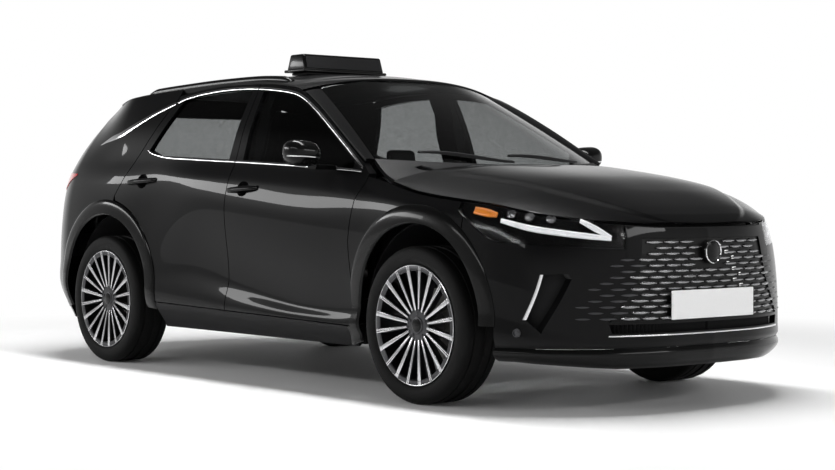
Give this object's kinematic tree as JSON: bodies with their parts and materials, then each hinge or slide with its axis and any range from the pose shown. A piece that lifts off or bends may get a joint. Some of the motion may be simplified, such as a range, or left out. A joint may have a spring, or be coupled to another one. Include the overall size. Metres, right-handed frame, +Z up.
{
  "type": "crossover taxi",
  "caption": "Full-size five-door crossover taxi with opening doors, bonnet and tailgate, steered front wheels and a blank roof sign.",
  "frame": {"origin": "on the ground, midway between the bumpers", "axes": "+X to the nose, +Y to the left side, +Z up"},
  "size_m": [4.8927, 2.186, 1.7851],
  "materials": {
    "body_paint": "gloss black paint under clear coat",
    "underbody": "matt black under-seal",
    "cast_metal": "sand-cast, dull",
    "bare_steel": "dull stainless",
    "dark_plastic": "fine-grained dark grey",
    "grille_black": "gloss black with bright blade edges",
    "tinted_glass": "grey tint",
    "lamp_glass": "clear lens",
    "red_lens": "red lens",
    "gloss_black": "gloss black",
    "plate_white": "blank white",
    "seat_leather": "soft dark grain",
    "tyre_rubber": "matt rubber",
    "wheel_alloy": "machined bright face"
  },
  "bodies": {
    "body": {"floor_pan": "underbody", "engine_block": "cast_metal", "front_subframe": "underbody", "rear_axle_beam": "underbody", "exhaust": "bare_steel", "roof": "body_paint", "side_frames": "body_paint", "quarter_panels": "body_paint", "wings": "body_paint", "pillars": "body_paint", "sill_trims": "dark_plastic", "arch_trims": "body_paint", "front_bumper": "body_paint", "grille": "grille_black", "front_lip": "dark_plastic", "rear_bumper": "body_paint", "windscreen": "tinted_glass", "cowl": "dark_plastic", "headlamps": "lamp_glass", "tail_lamps": "red_lens", "roof_rails": "gloss_black", "sign_mount": "dark_plastic", "sign_box": "gloss_black", "number_plate": "plate_white", "dashboard": "dark_plastic", "front_seats": "seat_leather", "rear_seat": "seat_leather", "steering_wheel": "seat_leather", "wheel_liners_front": "dark_plastic", "wheel_liners_rear": "dark_plastic"},
    "bonnet": {"bonnet": "body_paint"},
    "tailgate": {"tailgate": "body_paint", "tailgate_glass": "tinted_glass"},
    "door_front_left": {"door_front_left": "body_paint", "glass_front_left": "tinted_glass", "mirror_left": "body_paint"},
    "wheel_front_left": {"tyre_front_left": "tyre_rubber", "rim_front_left": "wheel_alloy"},
    "door_rear_left": {"door_rear_left": "body_paint", "glass_rear_left": "tinted_glass"},
    "wheel_rear_left": {"tyre_rear_left": "tyre_rubber", "rim_rear_left": "wheel_alloy"},
    "steer_left": {"knuckle_left": "cast_metal"},
    "door_front_right": {"door_front_right": "body_paint", "glass_front_right": "tinted_glass", "mirror_right": "body_paint"},
    "wheel_front_right": {"tyre_front_right": "tyre_rubber", "rim_front_right": "wheel_alloy"},
    "door_rear_right": {"door_rear_right": "body_paint", "glass_rear_right": "tinted_glass"},
    "wheel_rear_right": {"tyre_rear_right": "tyre_rubber", "rim_rear_right": "wheel_alloy"},
    "steer_right": {"knuckle_right": "cast_metal"}
  },
  "joints": [
    {"name": "bonnet_hinge", "type": "hinge", "parent": "body", "child": "bonnet", "pos_m": [1.1, 0, 1.108], "axis": [0, -1, 0], "range_deg": [0, 55]},
    {"name": "tailgate_hinge", "type": "hinge", "parent": "body", "child": "tailgate", "pos_m": [-1.717, 0, 1.6], "axis": [0, 1, 0], "range_deg": [0, 80]},
    {"name": "door_front_left_hinge", "type": "hinge", "parent": "body", "child": "door_front_left", "pos_m": [0.868, 0.915, 0.7], "axis": [0, 0, -1], "range_deg": [0, 65]},
    {"name": "door_rear_left_hinge", "type": "hinge", "parent": "body", "child": "door_rear_left", "pos_m": [-0.2306, 0.912, 0.7], "axis": [0, 0, -1], "range_deg": [0, 65]},
    {"name": "steer_left_pivot", "type": "hinge", "parent": "body", "child": "steer_left", "pos_m": [1.415, 0.745, 0.372], "axis": [0, 0, 1], "range_deg": [-32, 32]},
    {"name": "wheel_front_left_spin", "type": "hinge", "parent": "steer_left", "child": "wheel_front_left", "pos_m": [1.415, 0.82, 0.372], "axis": [0, 1, 0], "continuous": true},
    {"name": "wheel_rear_left_spin", "type": "hinge", "parent": "body", "child": "wheel_rear_left", "pos_m": [-1.435, 0.825, 0.372], "axis": [0, 1, 0], "continuous": true},
    {"name": "door_front_right_hinge", "type": "hinge", "parent": "body", "child": "door_front_right", "pos_m": [0.868, -0.915, 0.7], "axis": [0, 0, 1], "range_deg": [0, 65]},
    {"name": "door_rear_right_hinge", "type": "hinge", "parent": "body", "child": "door_rear_right", "pos_m": [-0.2306, -0.912, 0.7], "axis": [0, 0, 1], "range_deg": [0, 65]},
    {"name": "steer_right_pivot", "type": "hinge", "parent": "body", "child": "steer_right", "pos_m": [1.415, -0.745, 0.372], "axis": [0, 0, 1], "range_deg": [-32, 32]},
    {"name": "wheel_front_right_spin", "type": "hinge", "parent": "steer_right", "child": "wheel_front_right", "pos_m": [1.415, -0.82, 0.372], "axis": [0, 1, 0], "continuous": true},
    {"name": "wheel_rear_right_spin", "type": "hinge", "parent": "body", "child": "wheel_rear_right", "pos_m": [-1.435, -0.825, 0.372], "axis": [0, 1, 0], "continuous": true}
  ],
  "couplings": [
    {"joint": "steer_right_pivot", "follows": "steer_left_pivot", "ratio": 1}
  ]
}
